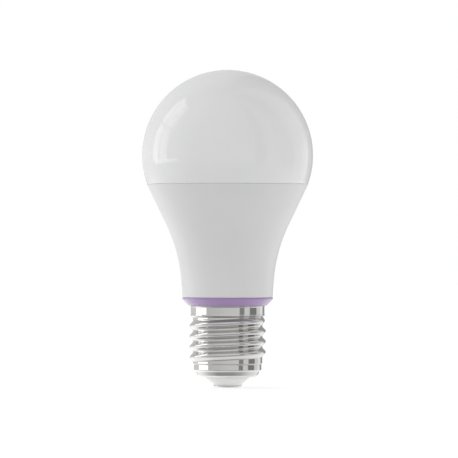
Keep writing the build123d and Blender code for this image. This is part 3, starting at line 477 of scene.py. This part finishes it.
def opal():
    """Opal polycarbonate: light enters a little way, under a smooth semi-gloss skin."""
    surface = Surface("opal", IOR=1.5, Subsurface_Weight=0.35, Subsurface_Scale=1.2 * MM,
                      Subsurface_Radius=(1.0, 0.9, 0.8))
    broad = surface.grain(22 * MM, detail=2)
    colour_out = surface.blend(surface.spread(broad, 0, 1), (0.775, 0.775, 0.78), (0.80, 0.80, 0.805))
    surface.link(colour_out, "Base Color")
    skin = surface.grain(0.35 * MM, detail=3)
    surface.link(surface.spread(skin, 0.03, 0.055), "Roughness")
    orange_peel = surface.grain(2.4 * MM, detail=1)
    relief = surface.bump(orange_peel, 0.003 * MM)
    surface.link(surface.bump(skin, 0.0008 * MM, under=relief), "Normal")
    return surface.material


def satin_white():
    """The housing's fine spark-eroded texture."""
    surface = Surface("satin_white", IOR=1.55, Sheen_Weight=0.6, Sheen_Roughness=0.3)
    broad = surface.grain(18 * MM, detail=2)
    colour_out = surface.blend(surface.spread(broad, 0, 1), (0.69, 0.69, 0.695), (0.71, 0.71, 0.715))
    surface.link(colour_out, "Base Color")
    texture = surface.grain(0.16 * MM, detail=5, roughness=0.7)
    surface.link(surface.spread(texture, 0.32, 0.44), "Roughness")
    surface.link(surface.bump(texture, 0.006 * MM, strength=0.6), "Normal")
    return surface.material


def nickel():
    """Nickel plate on rolled brass: drawing lines round the shell, rubbed crests and a few faint stains."""
    surface = Surface("nickel", Metallic=1.0, IOR=2.0)
    lines = surface.rings(0.09 * MM, detail=4)
    stains = surface.grain(3.5 * MM, detail=5)
    worn = surface.edges(0.51, 0.56)
    plate = surface.blend(surface.spread(stains, 0, 1), (0.555, 0.55, 0.54), (0.575, 0.57, 0.56))
    surface.link(surface.blend(worn, plate, (0.62, 0.615, 0.605)), "Base Color")
    surface.link(surface.spread(lines, 0.03, 0.06), "Roughness")
    surface.link(surface.bump(lines, 0.0002 * MM), "Normal")
    return surface.material


def phosphor(name, colour):
    """Phosphor grains held in clear silicone."""
    return moulded(name, colour, rough=(0.15, 0.35), grain=0.05, relief=0.004, variation=0.12)


def laminate(name, mask):
    """Glass-fibre board under coloured mask: the weave shows as a faint check."""
    surface = Surface(name)
    fine = surface.grain(0.5 * MM, stretch=(1, 1, 0.3), detail=1)
    cross = surface.grain(0.5 * MM, stretch=(0.3, 1, 1), detail=1)
    both = surface.add("ShaderNodeMath", {0: fine, 1: cross}, operation="MAXIMUM").outputs["Value"]
    colour_out = surface.blend(surface.spread(both, 0, 1), tinted(mask, 0.85), tinted(mask, 1.15))
    surface.link(colour_out, "Base Color")
    surface.link(surface.spread(both, 0.25, 0.4), "Roughness")
    surface.link(surface.bump(both, 0.01 * MM), "Normal")
    return surface.material


def wound(name, colour, wire_size):
    """Lacquered wire or tape laid in turns of a size in millimetres."""
    surface = Surface(name, Metallic=0.4)
    turns = surface.rings(wire_size * MM, detail=0)
    colour_out = surface.blend(surface.spread(turns, 0, 1), tinted(colour, 0.6), tinted(colour, 1.1))
    surface.link(colour_out, "Base Color")
    surface.link(surface.spread(turns, 0.25, 0.4), "Roughness")
    surface.link(surface.bump(turns, 0.1 * MM), "Normal")
    return surface.material


def slot_colour(slot):
    """The record's base colour of a material slot."""
    for entry in frame["record"]["materials"]:
        if entry["slot"] == slot:
            return tuple(entry["base_color"][:3])
    raise KeyError(slot)


PURPLE_SHADE = (0.88, 0.82, 0.88)     # of the record's purple, under the skin's own shine

# Slot: its maker, the material's name and the maker's own values. The colour comes from the record.
PLAIN_MATERIALS = {
    "insulator_plastic": (moulded, "insulator_white", dict(rough=(0.22, 0.36), grain=0.3, relief=0.008)),
    "white_silicone": (moulded, "silicone", dict(rough=(0.4, 0.55), grain=1.0, relief=0.03)),
    "spun_aluminium": (metal, "spun_aluminium", dict(rough=(0.25, 0.42))),
    "liner_plastic": (moulded, "liner", dict(rough=(0.4, 0.6))),
    "brown_pvc": (moulded, "brown_cover", dict(rough=(0.3, 0.4), grain=0.15)),
    "blue_pvc": (moulded, "blue_cover", dict(rough=(0.3, 0.4), grain=0.15)),
    "copper": (metal, "copper", dict(rough=(0.2, 0.35), marks="grain")),
    "enamelled_copper": (wound, "enamelled_wire", dict(wire_size=0.22)),
    "thermal_compound": (moulded, "thermal_compound", dict(grain=0.8, relief=0.05)),
    "white_metal_board": (moulded, "white_mask", dict(rough=(0.3, 0.45), grain=0.25)),
    "screw_steel": (metal, "screw_steel", dict(rough=(0.28, 0.4), marks="grain")),
    "led_package": (moulded, "led_package", dict(rough=(0.3, 0.45), grain=0.1)),
    "warm_phosphor": (phosphor, "warm_phosphor", {}),
    "cool_phosphor": (phosphor, "cool_phosphor", {}),
    "clear_silicone": (moulded, "clear_silicone", dict(rough=(0.05, 0.12), grain=0.5, relief=0.003,
                                                       Transmission_Weight=0.95, IOR=1.41)),
    "led_die": (moulded, "led_die", dict(rough=(0.1, 0.2), grain=0.03)),
    "chip_black": (moulded, "chip_epoxy", dict(rough=(0.45, 0.65), grain=0.06, variation=0.2)),
    "connector_plastic": (moulded, "nylon", dict(rough=(0.35, 0.5), grain=0.3)),
    "tinned_metal": (metal, "tinned", dict(rough=(0.2, 0.38), marks="grain")),
    "solder": (metal, "solder", dict(rough=(0.15, 0.35), size=0.3, marks="grain")),
    "driver_laminate": (laminate, "driver_laminate", {}),
    "radio_laminate": (laminate, "radio_laminate", {}),
    "capacitor_aluminium": (metal, "capacitor_can", dict(marks="grain")),
    "capacitor_sleeve": (moulded, "capacitor_sleeve", dict(rough=(0.2, 0.3), grain=1.0)),
    "film_capacitor_case": (moulded, "film_capacitor_case", dict(rough=(0.25, 0.4))),
    "varistor_coating": (moulded, "varistor_coating", dict(rough=(0.2, 0.4), grain=1.2, relief=0.05)),
    "resistor_coating": (moulded, "resistor_coating", dict(rough=(0.5, 0.7), relief=0.03)),
    "ferrite": (moulded, "ferrite", dict(rough=(0.35, 0.6), grain=0.12, variation=0.2, Metallic=0.3)),
    "bobbin_plastic": (moulded, "bobbin", dict(rough=(0.35, 0.5), variation=0.15)),
    "winding_tape": (wound, "winding_tape", dict(wire_size=2.0)),
    "chip_resistor": (moulded, "chip_resistor", dict(rough=(0.2, 0.35), grain=0.1)),
    "chip_capacitor": (moulded, "chip_capacitor", dict(rough=(0.35, 0.5), grain=0.08)),
}


def make_materials():
    """One material for each slot of the record."""
    purple = tuple(channel * share for channel, share in zip(slot_colour("purple_plastic"), PURPLE_SHADE))
    made = {"opal_plastic": opal(), "white_plastic": satin_white(), "nickel_plate": nickel()}
    made["purple_plastic"] = moulded("purple", purple, rough=(0.28, 0.38), grain=0.18, relief=0.006,
                                     variation=0.03, Sheen_Weight=0.4, Sheen_Roughness=0.3, Coat_Weight=0.5,
                                     Coat_Roughness=0.2)
    for slot, (maker, name, values) in PLAIN_MATERIALS.items():
        made[slot] = maker(name, slot_colour(slot), **values)
    return made


# ---------------------------------------------------------------- stage, light and camera
FLOOR_REACH = 3.0                # from the middle to each side, in metres
FLOOR_DROP = 0.02 * MM           # keeps it clear of the contact's face
FLOOR_GLOW_SEEN = 0.42           # glow towards the camera
FLOOR_GLOW = 0.5                 # glow towards the bulb
FLOOR_GREY = 0.35                # how much light it sends back to the bulb


def make_floor():
    """A wide pale floor, lit softly from within like a light table, and calmer towards the bulb."""
    bm = bmesh.new()
    bmesh.ops.create_grid(bm, x_segments=24, y_segments=24, size=FLOOR_REACH)
    mesh = bpy.data.meshes.new("floor")
    bm.to_mesh(mesh)
    bm.free()
    floor = bpy.data.objects.new("floor", mesh)
    floor.location.z = -FLOOR_DROP
    bpy.context.scene.collection.objects.link(floor)
    surface = Surface("floor_acrylic", Emission_Strength=FLOOR_GLOW_SEEN, Emission_Color=(1, 1, 1, 1),
                      Roughness=0.6)
    cloud = surface.grain(0.3, detail=2)
    surface.link(surface.blend(cloud, (0.80, 0.80, 0.80), (0.82, 0.82, 0.82)), "Base Color")
    matt = surface.add("ShaderNodeBsdfDiffuse", {"Color": (FLOOR_GREY, FLOOR_GREY, FLOOR_GREY, 1)})
    glow = surface.add("ShaderNodeEmission", {"Color": (1, 1, 1, 1), "Strength": FLOOR_GLOW})
    dim = surface.add("ShaderNodeAddShader", {0: matt.outputs["BSDF"], 1: glow.outputs["Emission"]})
    seen = surface.add("ShaderNodeLightPath").outputs["Is Camera Ray"]
    both = surface.add("ShaderNodeMixShader",
                       {0: seen, 1: dim.outputs["Shader"], 2: surface.shader.outputs["BSDF"]})
    surface.tree.links.new(both.outputs["Shader"], surface.tree.nodes["Material Output"].inputs["Surface"])
    mesh.materials.append(surface.material)
    floor.visible_glossy = False


# Brightness of the surroundings by azimuth, in degrees from the camera towards the right.
LOW_BANDS = [(-180, 0.75), (-150, 0.85), (-116, 1.05), (-106, 0.85), (-66, 0.78), (-30, 0.82), (0, 0.88),
             (37, 0.92), (39, 0.36), (53, 0.36), (55, 0.95), (72, 0.95), (75, 0.30), (101, 0.30),
             (104, 0.95), (120, 0.95), (123, 1.20), (138, 1.20), (143, 0.42), (168, 0.42), (174, 0.80)]
HIGH_BANDS = [(-180, 0.75), (-120, 0.72), (-60, 0.80), (-20, 0.92), (37, 0.92), (40, 0.56), (52, 0.56),
              (55, 0.90), (72, 0.88), (76, 0.50), (100, 0.50), (104, 0.80), (136, 0.86), (143, 0.44),
              (168, 0.44), (174, 0.70)]
BELOW_BANDS = [(-180, 1.50), (-120, 1.40), (-85, 0.85), (-45, 0.46), (20, 0.46), (60, 0.65), (100, 1.10),
               (140, 1.25)]
NADIR_LEVEL = 1.10
# Where one set of bands gives way to the next, as the sine of the angle up or down.
LOW_TO_HIGH = (0.04, 0.20)
LOW_TO_BELOW = (0.10, 0.30)
BELOW_TO_NADIR = (0.84, 1.0)


def make_world():
    """Soft light from all round in bands by direction, where the camera itself sees plain white."""
    world = bpy.data.worlds.new("studio")
    bpy.context.scene.world = world
    world.use_nodes = True
    tree = world.node_tree
    tree.nodes.clear()

    def add(kind, inputs=None, **properties):
        return add_node(tree, kind, inputs, **properties)

    def band_colour(share, bands):
        ramp = add("ShaderNodeValToRGB", {"Fac": share})
        stops = ramp.color_ramp.elements
        ends = {0.0: stops[0], 1.0: stops[1]}
        stops[1].color = (bands[-1][1],) * 3 + (1,)
        for degrees, level in bands:
            position = (degrees + 180) / 360
            stop = ends.get(position) or stops.new(position)
            stop.color = (level, level, level, 1)
        return ramp.outputs["Color"]

    def step(value, limits):
        return add("ShaderNodeMapRange", {"Value": value, "From Min": limits[0], "From Max": limits[1]},
                   interpolation_type="SMOOTHSTEP").outputs["Result"]

    direction = add("ShaderNodeTexCoord").outputs["Generated"]
    axes = add("ShaderNodeSeparateXYZ", {"Vector": direction})
    forward = add("ShaderNodeMath", {0: axes.outputs["Y"], 1: -1.0}, operation="MULTIPLY")
    turn = add("ShaderNodeMath", {0: axes.outputs["X"], 1: forward.outputs["Value"]}, operation="ARCTAN2")
    span = {"Value": turn.outputs["Value"], "From Min": -pi, "From Max": pi}
    share = add("ShaderNodeMapRange", span).outputs["Result"]
    up = axes.outputs["Z"]
    down = add("ShaderNodeMath", {0: up, 1: -1.0}, operation="MULTIPLY").outputs["Value"]
    low, high, below = (band_colour(share, bands) for bands in (LOW_BANDS, HIGH_BANDS, BELOW_BANDS))
    above = mix_colours(tree, step(up, LOW_TO_HIGH), low, high)
    below = mix_colours(tree, step(down, BELOW_TO_NADIR), below, (NADIR_LEVEL,) * 3)
    level = mix_colours(tree, step(down, LOW_TO_BELOW), above, below)
    light = add("ShaderNodeBackground", {"Color": level, "Strength": 1.0})
    white = add("ShaderNodeBackground", {"Color": (1, 1, 1, 1), "Strength": 1.0})
    seen = add("ShaderNodeLightPath").outputs["Is Camera Ray"]
    choice = add("ShaderNodeMixShader",
                 {0: seen, 1: light.outputs["Background"], 2: white.outputs["Background"]})
    add("ShaderNodeOutputWorld", {"Surface": choice.outputs["Shader"]})


# Soft lights: angles in degrees, sizes in metres, brightness as radiance.
WINDOW_ROWS = ((10, 0.48, 1.28), (38, 0.44, 1.22))            # elevation, height, brightness
WINDOW_AZIMUTHS = (-96.5, -112.5)
WINDOW_WIDTH = 0.24
STRIP = dict(azimuth=-91.5, elevation=-4.9, width=0.79, height=0.05, radiance=1.7)
FILLS = (("fill_left", -122, 3.1), ("fill_right", 105, 4.4))  # name, azimuth, brightness
FILL_SHAPE = dict(elevation=-7, width=0.3, height=0.07, distance=0.4)


def softbox(name, azimuth, elevation, width, height, radiance, distance=1.0):
    """A rectangular soft light that faces the middle of the globe."""
    data = bpy.data.lights.new(name, "AREA")
    data.shape = "RECTANGLE"
    data.size = width
    data.size_y = height
    data.energy = radiance * pi * width * height
    light = bpy.data.objects.new(name, data)
    turn, rise = radians(azimuth), radians(elevation)
    offset = Vector((sin(turn) * cos(rise), -cos(turn) * cos(rise), sin(rise))) * distance
    target = Vector((0, 0, GLOBE_CENTRE_Z * MM))
    light.location = target + offset
    light.rotation_euler = offset.to_track_quat("Z", "Y").to_euler()
    light.visible_camera = False
    bpy.context.scene.collection.objects.link(light)
    return light


def make_lights():
    """Two stacked windows on the left, a low strip below them, and a low soft fill on each side."""
    for row, (elevation, height, radiance) in enumerate(WINDOW_ROWS):
        for column, azimuth in enumerate(WINDOW_AZIMUTHS):
            softbox(f"window_{row}_{column}", azimuth, elevation, WINDOW_WIDTH, height, radiance)
    softbox("strip_left", **STRIP)
    for name, azimuth, radiance in FILLS:
        fill = softbox(name, azimuth, radiance=radiance, **FILL_SHAPE)
        fill.visible_glossy = False


FRAME_WIDTH = 158.0 * MM         # breadth of the picture at the bulb
AIM_X = 0.48 * MM
AIM_Z = 54.7 * MM
LENS = 400.0                     # in millimetres, as is the sensor
SENSOR = 36.0
CLIP_END = 20                    # in metres


def make_camera():
    """A long lens, level with the middle of the picture, looking along +Y."""
    data = bpy.data.cameras.new("camera")
    data.lens = LENS
    data.sensor_width = SENSOR
    data.clip_end = CLIP_END
    distance = FRAME_WIDTH * LENS / SENSOR
    camera = bpy.data.objects.new("camera", data)
    camera.location = (AIM_X, -distance, AIM_Z)
    camera.rotation_euler = (pi / 2, 0, 0)
    bpy.context.scene.collection.objects.link(camera)
    bpy.context.scene.camera = camera


# ---------------------------------------------------------------- the scene
bpy.context.scene.view_settings.view_transform = "Standard"
make_camera()
make_world()
make_lights()
make_floor()

materials = make_materials()
for piece in (make_dome(), make_body(), make_ring(), make_shell(), make_insulator(), make_contact()):
    piece.data.materials.append(materials[piece["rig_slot"]])
for entry in frame["record"]["subparts"]:
    node = NODES[entry["node"]]
    node.data.materials.clear()
    node.data.materials.append(materials[entry["material_slot"]])
